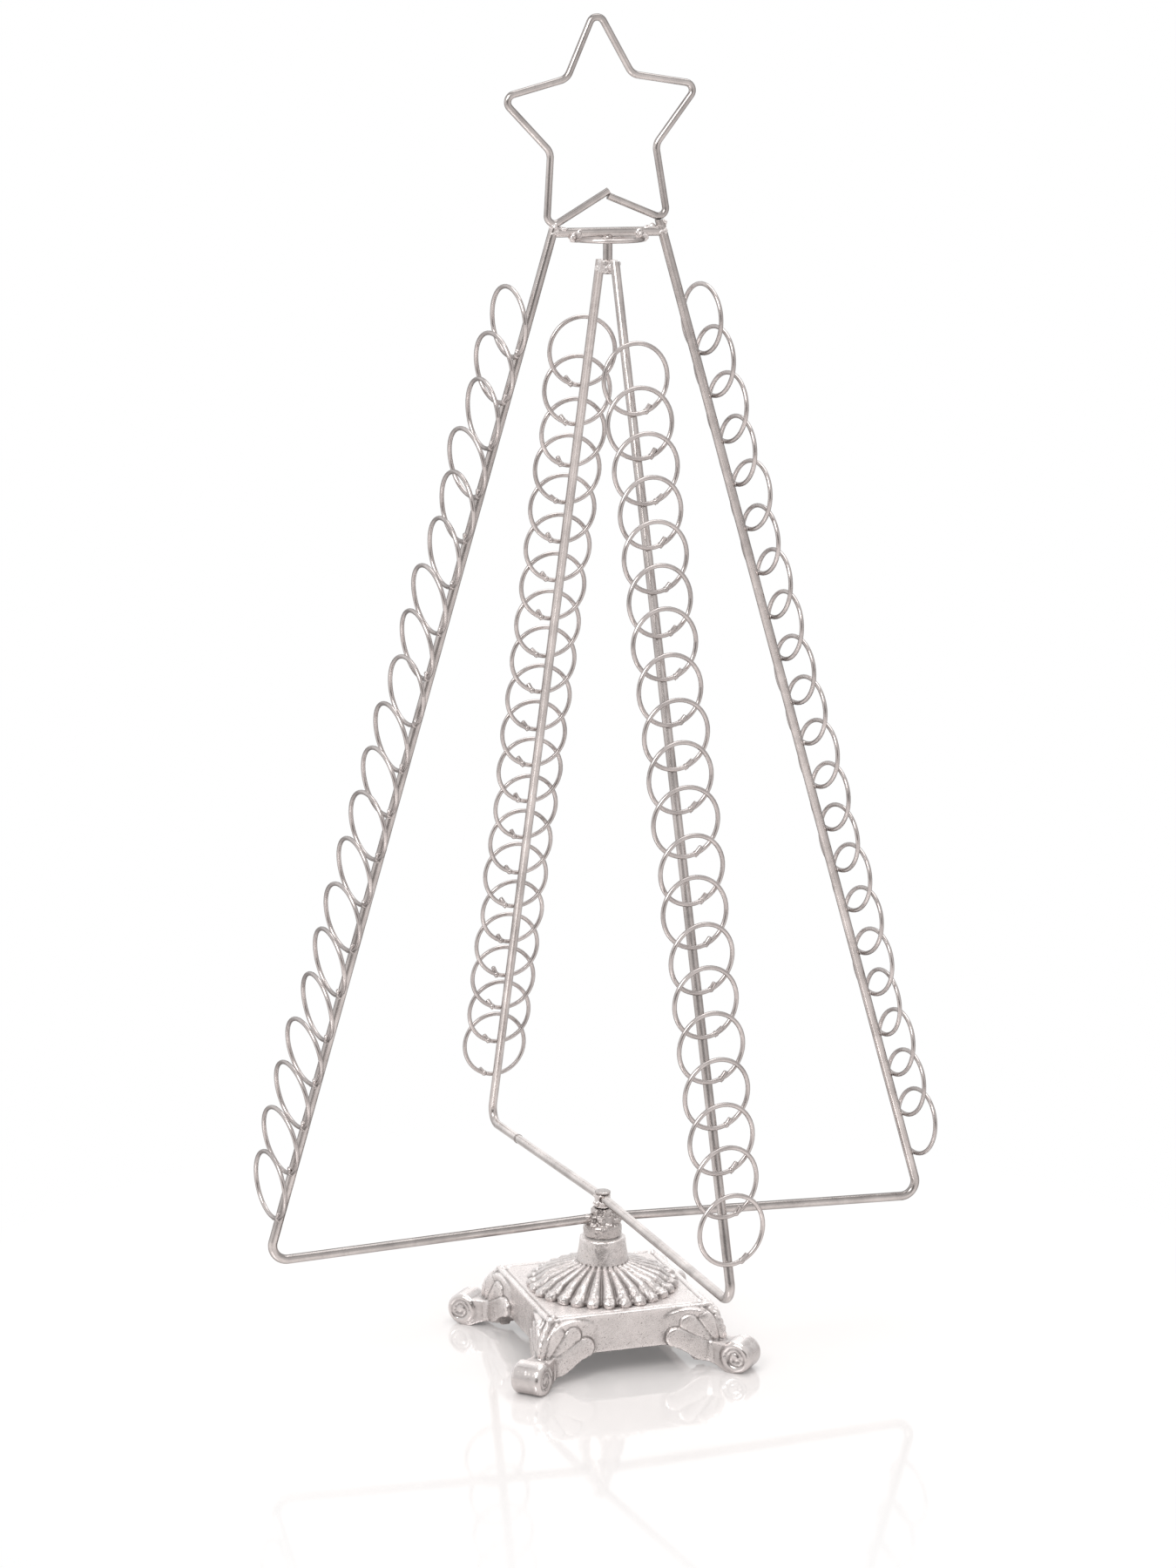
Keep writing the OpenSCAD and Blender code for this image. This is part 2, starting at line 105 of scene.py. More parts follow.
class CastingSizes(bpy.types.PropertyGroup):
    """Mesh and relief sizes of the sand-cast base."""

    plinth_mesh: length_setting("Plinth mesh", "Edge length of the plinth skin", 0.59)
    dome_mesh: length_setting("Dome mesh", "Edge length of the dome skin", 0.4)
    grain_depth: length_setting("Grain depth", "Height of the sand grain", 0.14)
    grain_size: length_setting("Grain size", "Width of the sand grain", 1.7)
    swell_depth: length_setting("Swell depth", "Height of the uneven casting skin", 0.55)
    swell_size: length_setting("Swell size", "Width of the uneven casting skin", 11)
    petal_dome: length_setting("Petal dome", "Rise of a petal's middle", 0.55)
    groove_depth: length_setting("Groove depth", "Depth of the line round a petal", 0.6)
    groove_width: length_setting("Groove width", "Half width of the line round a petal", 0.6)
    leaf_length: length_setting("Leaf length", "Length of the leaves along a side, from the corner", 27)
    leaf_flare: angle_setting("Leaf flare", "Turn of the leaves out of the side", 9.632)
    crevice_rounds: IntProperty(
        name="Crevice reach", description="Smoothing rounds that tell grooves from ridges", default=14)
    flute_count: IntProperty(name="Flutes", description="Ridges round the dome", default=28)
    border_inset: length_setting("Border inset", "Distance of the top border line from the edge", 3.4)


class WeldSizes(bpy.types.PropertyGroup):
    """Sizes of the weld metal, of the ring joints and of the bar's seam."""

    weld_mesh: length_setting("Weld mesh", "Edge length of the weld skin", 0.3)
    seat_size: length_setting("Ring seat", "Half length of the weld under a ring", 2.0)
    stub_length: length_setting("Stub length", "Length of the cut wire end at a ring joint", 4.8)
    stub_radius: length_setting("Stub radius", "Radius of the cut wire end at a ring joint", 1.2)
    seam_reach: length_setting("Seam place", "Distance of the far bar's seam from the axis", 124.0)
    seam_radius: length_setting("Seam radius", "Radius of the far bar's seam", 2.68)
    seam_length: length_setting("Seam length", "Length of the far bar's seam", 1.3)
    seed: IntProperty(name="Seed", description="Seed of the hand-made scatter", default=7)


class FinishColours(bpy.types.PropertyGroup):
    """Colours of the silver finishes and of the floor."""

    wire: colour_setting("Wire", "Satin silver of the frame wire", (0.69, 0.643, 0.625))
    ring: colour_setting("Rings", "Satin silver of the card rings", (0.67, 0.62, 0.605))
    weld: colour_setting("Welds", "Bright silver of the weld metal", (0.78, 0.735, 0.72))
    cast: colour_setting("Casting", "Bright silver of the cast base", (0.8, 0.755, 0.743))
    # The same dull grey is the colour that the painted shade in the grooves darkens to.
    pit: colour_setting("Pits", "Dull grey in the pits of the casting", (0.2, 0.176, 0.168))
    steel: colour_setting("Hardware", "Plain steel of the spindle set", (0.42, 0.41, 0.4))
    floor: colour_setting("Floor", "White studio floor", (0.82, 0.797, 0.79))


class StageSetup(bpy.types.PropertyGroup):
    """Camera and light of the studio."""

    camera_place: FloatVectorProperty(
        name="Camera", description="Where the camera stands", default=(-0.6199, -1.8361, 0.7215),
        subtype="TRANSLATION")
    camera_heading: angle_setting("Heading", "Turn of the view from +Y towards +X", 18.395)
    camera_pitch: angle_setting("Pitch", "Downward pitch of the view", 12.02)
    camera_roll: angle_setting("Roll", "Roll of the view", 0.25)
    lens: FloatProperty(
        name="Lens", description="Focal length on a 36 mm long side", default=87.06, unit="CAMERA")
    key_power: power_setting("Key", "Power of the softbox above left", 17.0)
    top_power: power_setting("Top", "Power of the overhead softbox", 12.0)
    floor_lift: FloatProperty(
        name="Floor lift", description="Extra white of the floor to the eye", default=0.12)
    floor_near: length_setting("Floor near", "Distance at which the floor starts to fade to white", 110)
    floor_far: length_setting("Floor far", "Distance at which the floor is white", 400)


def only(obj):
    """Make obj the one selected and active object."""
    if bpy.context.mode != "OBJECT":
        bpy.ops.object.mode_set(mode="OBJECT")
    bpy.ops.object.select_all(action="DESELECT")
    obj.select_set(True)
    bpy.context.view_layer.objects.active = obj


def modify(obj, kind, **values):
    """Add a modifier with these values and apply it."""
    modifier = obj.modifiers.new(kind.lower(), kind)
    for key, value in values.items():
        setattr(modifier, key, value)
    only(obj)
    bpy.ops.object.modifier_apply(modifier=modifier.name)


def remesh(obj, edge, rounds):
    """Turn a merged copy into one even skin with this edge length, smoothed for some rounds."""
    modify(obj, "REMESH", mode="VOXEL", voxel_size=edge, adaptivity=0.0)
    modify(obj, "SMOOTH", factor=0.5, iterations=rounds)


def cad_copy(node, name):
    """A merged copy of a CAD node's mesh as a new object."""
    obj = bpy.data.objects.new(name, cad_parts[node].data.copy())
    bpy.context.scene.collection.objects.link(obj)
    obj.data.name = name
    obj.data.materials.clear()
    only(obj)
    bpy.ops.mesh.customdata_custom_splitnormals_clear()
    bpy.ops.object.mode_set(mode="EDIT")
    bpy.ops.mesh.select_all(action="SELECT")
    bpy.ops.mesh.remove_doubles(threshold=1e-6)
    bpy.ops.object.mode_set(mode="OBJECT")
    return obj


def mesh_copy(proto, name, matrix):
    """A copy of proto with its own mesh, put in place by matrix."""
    obj = bpy.data.objects.new(name, proto.data.copy())
    bpy.context.scene.collection.objects.link(obj)
    obj.data.transform(matrix)
    return obj


def joined(objs, name):
    """Join objs into one object."""
    only(objs[0])
    for obj in objs[1:]:
        obj.select_set(True)
    if len(objs) > 1:
        bpy.ops.object.join()
    objs[0].name = name
    objs[0].data.name = name
    return objs[0]


def drop(obj):
    """Remove a prototype that has been copied."""
    bpy.data.objects.remove(obj)


def settle(obj, body, slot, material, *nodes):
    """Smooth, paint and seat a finished piece on its body."""
    only(obj)
    bpy.ops.object.shade_smooth()
    obj.data.materials.clear()
    obj.data.materials.append(bpy.data.materials[material])
    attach(obj, body)
    if nodes:
        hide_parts(*nodes)


def cloud(name, size, depth=2):
    """A soft noise texture for a displacement."""
    texture = bpy.data.textures.new(name, "CLOUDS")
    texture.noise_scale = size
    texture.noise_depth = depth
    return texture


def weights(obj, name, values):
    """A vertex group with one weight per vertex."""
    group = obj.vertex_groups.new(name=name)
    for index in np.nonzero(values > 0.001)[0]:
        group.add([int(index)], float(values[index]), "REPLACE")


def roughen(obj, texture, depth, group=""):
    """Displace a skin along its normals by a noise texture."""
    modify(obj, "DISPLACE", texture=texture, texture_coords="LOCAL", strength=depth, mid_level=0.5,
           vertex_group=group)


def points_of(obj):
    """The places of a mesh's points, one row each."""
    co = np.zeros(len(obj.data.vertices) * 3)
    obj.data.vertices.foreach_get("co", co)
    return co.reshape(-1, 3)


def normals_of(obj):
    """The normals of a mesh's points, one row each."""
    no = np.zeros(len(obj.data.vertices) * 3)
    obj.data.vertices.foreach_get("normal", no)
    return no.reshape(-1, 3)


def set_points(obj, co):
    """Move a mesh's points to these places."""
    obj.data.vertices.foreach_set("co", co.ravel())
    obj.data.update()


def from_axis(co):
    """Distance of each point from the upright axis."""
    return np.linalg.norm(co[:, :2], axis=1)


def ramp(values, start, width):
    """0 up to start, 1 from start + width on."""
    return np.clip((values - start) / width, 0, 1)


def point_values(obj, name, values):
    """A point attribute that the finishes read."""
    made = obj.data.attributes.new(name, "FLOAT", "POINT")
    made.data.foreach_set("value", values.astype(np.float32))


def crevices(obj, rounds, depth):
    """How deep each point lies in the skin: 1 in grooves of this depth, 0 on flats and -1 on ridges."""
    co, no = points_of(obj), normals_of(obj)
    ends = np.zeros(len(obj.data.edges) * 2, dtype=np.int32)
    obj.data.edges.foreach_get("vertices", ends)
    first, second = ends.reshape(-1, 2).T
    count = np.maximum(np.bincount(ends, minlength=len(co)), 1)
    soft = co
    for _ in range(rounds):
        total = [
            np.bincount(first, soft[second, i], len(co)) + np.bincount(second, soft[first, i], len(co))
            for i in range(3)
        ]
        soft = np.stack(total, 1) / count[:, None]
    return np.clip(((soft - co) * no).sum(1) / depth, -1, 1)


def lump(name, seed, level=3):
    """A lumpy blob of weld metal about 1 m in radius, to be scaled when copied."""
    bpy.ops.object.select_all(action="DESELECT")
    bpy.ops.mesh.primitive_ico_sphere_add(subdivisions=level, radius=1.0)
    obj = bpy.context.object
    obj.name = name
    bpy.ops.object.mode_set(mode="EDIT")
    bpy.ops.mesh.select_all(action="SELECT")
    bpy.ops.transform.vertex_random(offset=0.55, uniform=0.4, normal=1.0, seed=seed)
    bpy.ops.mesh.vertices_smooth(factor=0.6, repeat=2)
    bpy.ops.object.mode_set(mode="OBJECT")
    return obj


def spot(place, half, turn=0.0, tilt=0.0):
    """Matrix that scales a unit blob to half sizes in mm, tilts and turns it, and puts it at place in mm."""
    return (
        Matrix.Translation(Vector(place) * MM)
        @ Matrix.Rotation(turn, 4, "Z")
        @ Matrix.Rotation(tilt, 4, "Y")
        @ Matrix.Diagonal((*(Vector(half) * MM), 1.0))
    )


def node(tree, kind, **values):
    """A new shader node with these values."""
    made = tree.nodes.new(kind)
    for key, value in values.items():
        setattr(made, key, value)
    return made


def wire_up(tree, source, target):
    """Link two sockets."""
    tree.links.new(source, target)


def feed(tree, value, socket):
    """Set a socket to a number or a colour, or link it to another socket."""
    if isinstance(value, (int, float, tuple)):
        socket.default_value = value
    else:
        wire_up(tree, value, socket)


def new_group(name, inputs):
    """A finish group with these inputs and their defaults, its input node and its output node."""
    tree = bpy.data.node_groups.new(name, "ShaderNodeTree")
    for label, value in inputs.items():
        kind = "NodeSocketColor" if isinstance(value, tuple) else "NodeSocketFloat"
        tree.interface.new_socket(name=label, in_out="INPUT", socket_type=kind).default_value = value
    tree.interface.new_socket(name="Colour", in_out="OUTPUT", socket_type="NodeSocketColor")
    for label in ("Roughness", "Height"):
        tree.interface.new_socket(name=label, in_out="OUTPUT", socket_type="NodeSocketFloat")
    return tree, node(tree, "NodeGroupInput"), node(tree, "NodeGroupOutput")


def noise_at(tree, coords, scale, detail, rough):
    """Noise of this many features a metre."""
    made = node(tree, "ShaderNodeTexNoise")
    wire_up(tree, coords, made.inputs["Vector"])
    feed(tree, scale, made.inputs["Scale"])
    made.inputs["Detail"].default_value = detail
    made.inputs["Roughness"].default_value = rough
    return made.outputs["Fac"]


def ranged(tree, value, low, high, to_low, to_high):
    """A value mapped from one range to another and held at its ends."""
    made = node(tree, "ShaderNodeMapRange")
    wire_up(tree, value, made.inputs["Value"])
    for label, number in (("From Min", low), ("From Max", high), ("To Min", to_low), ("To Max", to_high)):
        feed(tree, number, made.inputs[label])
    return made.outputs["Result"]


def maths(tree, operation, first, second):
    """One sum on two values."""
    made = node(tree, "ShaderNodeMath", operation=operation)
    for socket, value in zip(made.inputs, (first, second)):
        feed(tree, value, socket)
    return made.outputs["Value"]


def mixed(tree, factor, first, second):
    """Two colours mixed by a factor."""
    made = node(tree, "ShaderNodeMix", data_type="RGBA")
    for label, value in (("Factor_Float", factor), ("A_Color", first), ("B_Color", second)):
        feed(tree, value, next(s for s in made.inputs if s.identifier == label))
    return next(s for s in made.outputs if s.identifier == "Result_Color")


def scaled(tree, colour, factor):
    """A colour made brighter or darker by a factor."""
    made = node(tree, "ShaderNodeVectorMath", operation="SCALE")
    wire_up(tree, colour, made.inputs[0])
    wire_up(tree, factor, made.inputs["Scale"])
    return made.outputs["Vector"]


def sand_grain_group():
    """Sand-cast silver: grains, dark pits and cloudy patches, with painted shade in the grooves and a painted
    highlight on the ridges that the crevice attribute marks.
    """
    tree, inlet, outlet = new_group("sand grain", {
        "Colour": (0.7, 0.7, 0.7, 1), "Pit colour": (0.3, 0.3, 0.3, 1), "Grains per metre": 900.0,
        "Pitting": 0.6})
    coords = node(tree, "ShaderNodeTexCoord").outputs["Object"]
    per_metre = inlet.outputs["Grains per metre"]
    grain = noise_at(tree, coords, per_metre, 4.0, 0.65)
    fine = noise_at(tree, coords, maths(tree, "MULTIPLY", per_metre, 2.6), 2.0, 0.6)
    patches = noise_at(tree, coords, 75.0, 3.0, 0.6)
    where = noise_at(tree, coords, 170.0, 2.0, 0.5)
    cells = node(tree, "ShaderNodeTexVoronoi", feature="F1")
    wire_up(tree, coords, cells.inputs["Vector"])
    wire_up(tree, maths(tree, "MULTIPLY", per_metre, 0.62), cells.inputs["Scale"])
    pit = ranged(tree, cells.outputs["Distance"], 0.1, 0.3, 1.0, 0.0)
    pit = maths(tree, "MULTIPLY", pit, ranged(tree, where, 0.45, 0.57, 0.0, 1.0))
    rubbed = node(tree, "ShaderNodeAttribute", attribute_name="rubbed").outputs["Fac"]
    pitting = maths(tree, "MULTIPLY", inlet.outputs["Pitting"], ranged(tree, rubbed, 0.0, 1.0, 1.0, 0.15))
    # Painted shade and highlight: points that lie in a groove darken towards the pit colour, and points on a
    # ridge are made brighter.
    crevice = node(tree, "ShaderNodeAttribute", attribute_name="crevice").outputs["Fac"]
    ragged = maths(tree, "ADD", crevice, ranged(tree, grain, 0.3, 0.7, 0.2, -0.2))
    groove = ranged(tree, ragged, 0.1, 0.85, 0.0, 0.72)
    painted_ridge_highlight = ranged(tree, crevice, -0.7, 0.0, 1.0, 0.0)
    dark = maths(tree, "MULTIPLY", pit, pitting)
    speck = maths(tree, "MULTIPLY", ranged(tree, grain, 0.28, 0.46, 0.5, 0.0), pitting)
    # The pits and specks belong to the casting; the groove darkening mixed in with them is painted shade.
    pits_and_painted_groove_shade = maths(tree, "MAXIMUM", maths(tree, "MAXIMUM", dark, speck), groove)
    base = mixed(tree, pits_and_painted_groove_shade, inlet.outputs["Colour"], inlet.outputs["Pit colour"])
    cloudy = ranged(tree, patches, 0.3, 0.7, 0.88, 1.04)
    shade = maths(tree, "ADD", cloudy, maths(tree, "MULTIPLY", painted_ridge_highlight, 0.18))
    shade = maths(tree, "SUBTRACT", shade, maths(tree, "MULTIPLY", rubbed, 0.14))
    wire_up(tree, scaled(tree, base, shade), outlet.inputs["Colour"])
    rough = maths(tree, "ADD", ranged(tree, grain, 0.3, 0.7, 0.32, 0.2), maths(tree, "MULTIPLY", groove, 0.2))
    rough = maths(tree, "SUBTRACT", rough, maths(tree, "MULTIPLY", rubbed, 0.07))
    wire_up(tree, rough, outlet.inputs["Roughness"])
    height = maths(tree, "ADD", maths(tree, "MULTIPLY", grain, 0.75), maths(tree, "MULTIPLY", fine, 0.3))
    height = maths(tree, "SUBTRACT", height, maths(tree, "MULTIPLY", pit, 0.8))
    height = maths(tree, "MULTIPLY", height, ranged(tree, rubbed, 0.0, 1.0, 1.0, 0.2))
    wire_up(tree, height, outlet.inputs["Height"])
    return tree


def drawn_wire_group():
    """Satin silver wire: cloudy plating, rubbed patches and fine handling marks."""
    tree, inlet, outlet = new_group("drawn wire", {
        "Colour": (0.6, 0.6, 0.6, 1), "Patches per metre": 55.0, "Unevenness": 0.2})
    coords = node(tree, "ShaderNodeTexCoord").outputs["Object"]
    patches = noise_at(tree, coords, inlet.outputs["Patches per metre"], 4.0, 0.6)
    marks = noise_at(tree, coords, 240.0, 3.0, 0.6)
    grit = noise_at(tree, coords, 2600.0, 2.0, 0.5)
    spread = ranged(tree, patches, 0.32, 0.68, -1.0, 1.0)
    cloudy = maths(tree, "ADD", 1.0, maths(tree, "MULTIPLY", spread, inlet.outputs["Unevenness"]))
    shade = maths(tree, "MULTIPLY", cloudy, ranged(tree, marks, 0.34, 0.46, 0.9, 1.0))
    wire_up(tree, scaled(tree, inlet.outputs["Colour"], shade), outlet.inputs["Colour"])
    wire_up(tree, ranged(tree, patches, 0.3, 0.7, 0.25, 0.15), outlet.inputs["Roughness"])
    wire_up(tree, maths(tree, "ADD", marks, maths(tree, "MULTIPLY", grit, 0.12)), outlet.inputs["Height"])
    return tree


def opaque(colour):
    """A colour with full alpha."""
    return (*colour, 1.0)


def metal(name, group, values, edge, bump, metallic=0.95, painted_top_shading=None, grazing=1.0):
    """A material from a finish group, with painted shade that darkens its colour to edge where a side turns
    away from the eye.

    bump is the distance and the strength of the group's height. lit paints light or shade on faces that look
    up: the upward normal where it starts and where it is full, the gain of the colour there (above 0 a
    painted light, below 0 a painted shade) and the metallic there. grazing is how bright the sheen is at a
    glancing angle.
    """
    start, full, gain, lit_metallic = painted_top_shading or (0.9, 1.0, 0.0, metallic)
    material = bpy.data.materials.new(name)
    material.use_nodes = True
    tree = material.node_tree
    shader = tree.nodes["Principled BSDF"]
    finish = node(tree, "ShaderNodeGroup", node_tree=group)
    for label, value in values.items():
        finish.inputs[label].default_value = value
    # Painted shade: the colour darkens towards edge on sides that turn away from the eye and do not face up.
    facing = node(tree, "ShaderNodeLayerWeight").outputs["Facing"]
    upward = node(tree, "ShaderNodeSeparateXYZ")
    wire_up(tree, node(tree, "ShaderNodeTexCoord").outputs["Normal"], upward.inputs["Vector"])
    side = ranged(tree, upward.outputs["Z"], 0.2, 0.6, 1.0, 0.0)
    away = maths(tree, "MULTIPLY", ranged(tree, facing, 0.25, 0.65, 0.0, 1.0), side)
    # Faces that look up get painted light where the gain is above 0 and painted shade where it is below 0.
    level = ranged(tree, upward.outputs["Z"], start, full, 0.0, 1.0)
    painted_edge_shade = ranged(tree, away, 0.0, 1.0, 1.0, edge)
    shade = maths(tree, "ADD", painted_edge_shade, maths(tree, "MULTIPLY", level, gain))
    wire_up(tree, scaled(tree, finish.outputs["Colour"], shade), shader.inputs["Base Color"])
    wire_up(tree, finish.outputs["Roughness"], shader.inputs["Roughness"])
    relief = node(tree, "ShaderNodeBump")
    relief.inputs["Distance"].default_value, relief.inputs["Strength"].default_value = bump
    wire_up(tree, finish.outputs["Height"], relief.inputs["Height"])
    wire_up(tree, relief.outputs["Normal"], shader.inputs["Normal"])
    shader.inputs["Metallic"].default_value = metallic
    if lit_metallic != metallic:
        wire_up(tree, ranged(tree, level, 0.0, 1.0, metallic, lit_metallic), shader.inputs["Metallic"])
    shader.inputs["Specular Tint"].default_value = opaque((grazing,) * 3)
    return material


class CARDHOLDER_OT_finishes(bpy.types.Operator):
    """Make the silver finishes and paint the CAD nodes with them"""

    bl_idname = "card_holder.finishes"
    bl_label = "Silver finishes"

    def execute(self, context):
        colours = context.scene.card_holder_finish
        sand, drawn = sand_grain_group(), drawn_wire_group()

        def sandy(colour, grains, pitting):
            return {"Colour": opaque(colour), "Pit colour": opaque(colours.pit), "Grains per metre": grains,
                    "Pitting": pitting}

        def satin(colour, patches, uneven):
            return {"Colour": opaque(colour), "Patches per metre": patches, "Unevenness": uneven}

        # Every finish darkens its sides turned away from the eye with painted shade where edge is below 1.
        # The casting and the inner wire get painted light on faces that look up, and the frame wire and the
        # rings get painted shade on their tops.
        cast = metal(
            "cast_silver_paint", sand, sandy(colours.cast, 1250.0, 0.8), edge=0.9, bump=(0.22 * MM, 0.6),
            painted_top_shading=(0.9, 0.98, 0.24, 0.36))
        metal("weld_silver", sand, sandy(colours.weld, 900.0, 0.35), edge=0.9, bump=(0.2 * MM, 0.6))
        hub_colour = tuple(HUB_SHADE * c for c in colours.wire)
        hub = metal("hub_silver", sand, sandy(hub_colour, 1100.0, 0.8), edge=0.9, bump=(0.25 * MM, 0.7))
        wire = metal(
            "frame_wire_silver", drawn, satin(colours.wire, 48.0, 0.2), edge=0.6, bump=(0.02 * MM, 0.4),
            painted_top_shading=(0.15, 0.6, -0.5, 0.95), grazing=0.4)
        inner_wire = metal(
            "inner_wire_silver", drawn, satin(colours.wire, 48.0, 0.2), edge=0.6, bump=(0.02 * MM, 0.4),
            painted_top_shading=(0.5, 0.92, 0.24, 0.8))
        ring = metal(
            "ring_wire_silver", drawn, satin(colours.ring, 70.0, 0.17), edge=0.55, bump=(0.015 * MM, 0.4),
            painted_top_shading=(0.2, 0.8, -0.2, 0.95), grazing=0.5)
        steel = metal(
            "spindle_steel", drawn, satin(colours.steel, 140.0, 0.25), edge=0.8, bump=(0.04 * MM, 0.5),
            metallic=1.0)
        finishes = {
            **dict.fromkeys(INNER_WIRES, inner_wire),
            **dict.fromkeys(FRAME_WIRES, wire),
            **dict.fromkeys((*RING_ROWS, "top_ring"), ring),
            **dict.fromkeys(HARDWARE, steel),
            "lower_pivot_pin": hub,
        }
        for name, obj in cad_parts.items():
            obj.data.materials.clear()
            obj.data.materials.append(finishes.get(name, cast))
        return {"FINISHED"}


def thin_out(obj, points, ratio):
    """Collapse the faces among these points, which nobody sees, to a share of their number."""
    only(obj)
    obj.data.vertices.foreach_set("select", points)
    bpy.ops.object.mode_set(mode="EDIT")
    bpy.ops.mesh.select_mode(type="VERT")
    bpy.ops.mesh.decimate(ratio=ratio)
    bpy.ops.object.mode_set(mode="OBJECT")


def heading(degrees):
    """Unit vectors along a level heading and to its left."""
    turn = math.radians(degrees)
    return np.array([math.cos(turn), math.sin(turn), 0.0]), np.array([-math.sin(turn), math.cos(turn), 0.0])


def petal_relief(co, no, sizes):
    """How far each skin point moves out of its leaf: petals domed, their upper lines grooved."""
    root = np.array([sizes.leaf_length + 0.5 * MM, 7.0 * MM])
    c, s = math.cos(sizes.leaf_flare), math.sin(sizes.leaf_flare)
    move = np.zeros_like(co)
    for k in range(4):
        out, left = heading(90 * k)
        for hand in (-1, 1):
            along = hand * left
            start = along * (PLINTH_HALF - sizes.leaf_length) + out * PLINTH_HALF
            level, normal = along * c + out * s, out * c - along * s
            flat = np.stack([(co - start) @ level, co[:, 2]], 1)
            depth = (co - start) @ normal
            face = (depth > -1.4 * MM) & (depth < 3.5 * MM) & (no @ normal > 0.2) & (co @ along < co @ out)
            face &= (flat[:, 0] > -4 * MM) & (flat[:, 0] < sizes.leaf_length + 9 * MM)
            gaps = []
            for angle, reach, width in PETALS:
                a = math.radians(angle)
                tip = root + reach * MM * np.array([-math.cos(a), math.sin(a)])
                step = np.clip(((flat - root) @ (tip - root)) / ((tip - root) @ (tip - root)), 0, 1)
                gaps.append((np.linalg.norm(flat - root - step[:, None] * (tip - root), axis=1), width * MM))
            relief = np.zeros(len(co))
            for n, (gap, width) in enumerate(gaps):
                hidden = np.zeros(len(co), bool)
                for lower_gap, lower_width in gaps[n + 1:]:
                    hidden |= lower_gap < lower_width
                domed = sizes.petal_dome * np.clip(1 - (gap / width) ** 2, 0, 1)
                beside = np.abs(gap - width - PETAL_LINE)
                line = sizes.groove_depth * np.clip(1 - beside / sizes.groove_width, 0, 1)
                relief = np.where(hidden, relief, relief + domed - line)
            move[face] += relief[face, None] * normal
    return move


def leg_relief(co):
    """Rope-like rib down the front of each leg with a groove on either side."""
    move = np.zeros_like(co)
    for k in range(4):
        out, side = heading(45 + 90 * k)
        flat = np.stack([co @ out, co[:, 2]], 1) - np.array(LEG_CENTRE)
        across = co @ side
        beside = np.abs(across)
        reach = np.linalg.norm(flat, axis=1)
        angle = np.arctan2(flat[:, 1], flat[:, 0])
        skin = (np.abs(reach - LEG_RADIUS) < 1.6 * MM) & (beside < 7.6 * MM) & (angle > -0.35) & (angle < 1.6)
        twist = 0.5 + 0.5 * np.sin(angle * 26 + across / MM * 1.5)
        rib = np.clip(1 - (beside / (1.7 * MM)) ** 2, 0, 1) * (0.25 + 0.55 * twist)
        line = np.clip(1 - np.abs(beside - 2.6 * MM) / (0.9 * MM), 0, 1) * 0.6
        fan = np.clip(1 - np.abs(beside - 5.0 * MM) / (0.8 * MM), 0, 1) * 0.35
        push = (rib - line - fan) * MM * skin
        aim = flat / reach[:, None]
        move += push[:, None] * (aim[:, :1] * out + aim[:, 1:] * np.array([0, 0, 1.0]))
    return move


class CARDHOLDER_OT_plinth(bpy.types.Operator):
    """Model the sand-cast plinth with its petals, ribbed legs and scroll feet"""

    bl_idname = "card_holder.plinth"
    bl_label = "Cast plinth"

    def execute(self, context):
        sizes = context.scene.card_holder_casting
        obj = cad_copy("plinth", "plinth_casting")
        remesh(obj, sizes.plinth_mesh, 1)
        co, no = points_of(obj), normals_of(obj)
        top = co[:, 2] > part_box("plinth")[1].z - 0.6 * MM
        edge = PLINTH_HALF - np.maximum(np.abs(co[:, 0]), np.abs(co[:, 1]))
        border = np.clip(1 - np.abs(edge - sizes.border_inset) / (0.75 * MM), 0, 1) * top
        co += petal_relief(co, no, sizes) + leg_relief(co)
        co[:, 2] -= border * 0.6 * MM
        set_points(obj, co)
        modify(obj, "SMOOTH", factor=0.35, iterations=1)
        inside = (np.abs(co[:, :2]).max(1) < PLINTH_HOLLOW[0]) & (co[:, 2] < PLINTH_HOLLOW[1])
        weights(obj, "skin", ((co[:, 2] > 1.0 * MM) & ~inside).astype(float))
        roughen(obj, cloud("plinth swell", sizes.swell_size), sizes.swell_depth, "skin")
        roughen(obj, cloud("plinth grain", sizes.grain_size, 3), sizes.grain_depth, "skin")
        obj.vertex_groups.clear()
        thin_out(obj, inside, 0.06)
        # The crevice values paint shade into the petal lines, leg grooves and border line, and a highlight
        # onto the ridges.
        point_values(obj, "crevice", crevices(obj, sizes.crevice_rounds, 0.42 * MM))
        co = points_of(obj)
        outward = np.abs(co[:, :2]).sum(1) / math.sqrt(2)
        point_values(obj, "rubbed", ramp(outward, FEET_START, 4 * MM) * (co[:, 2] < FEET_TOP))
        settle(obj, "base", "cast_silver", "cast_silver_paint", "plinth")
        return {"FINISHED"}


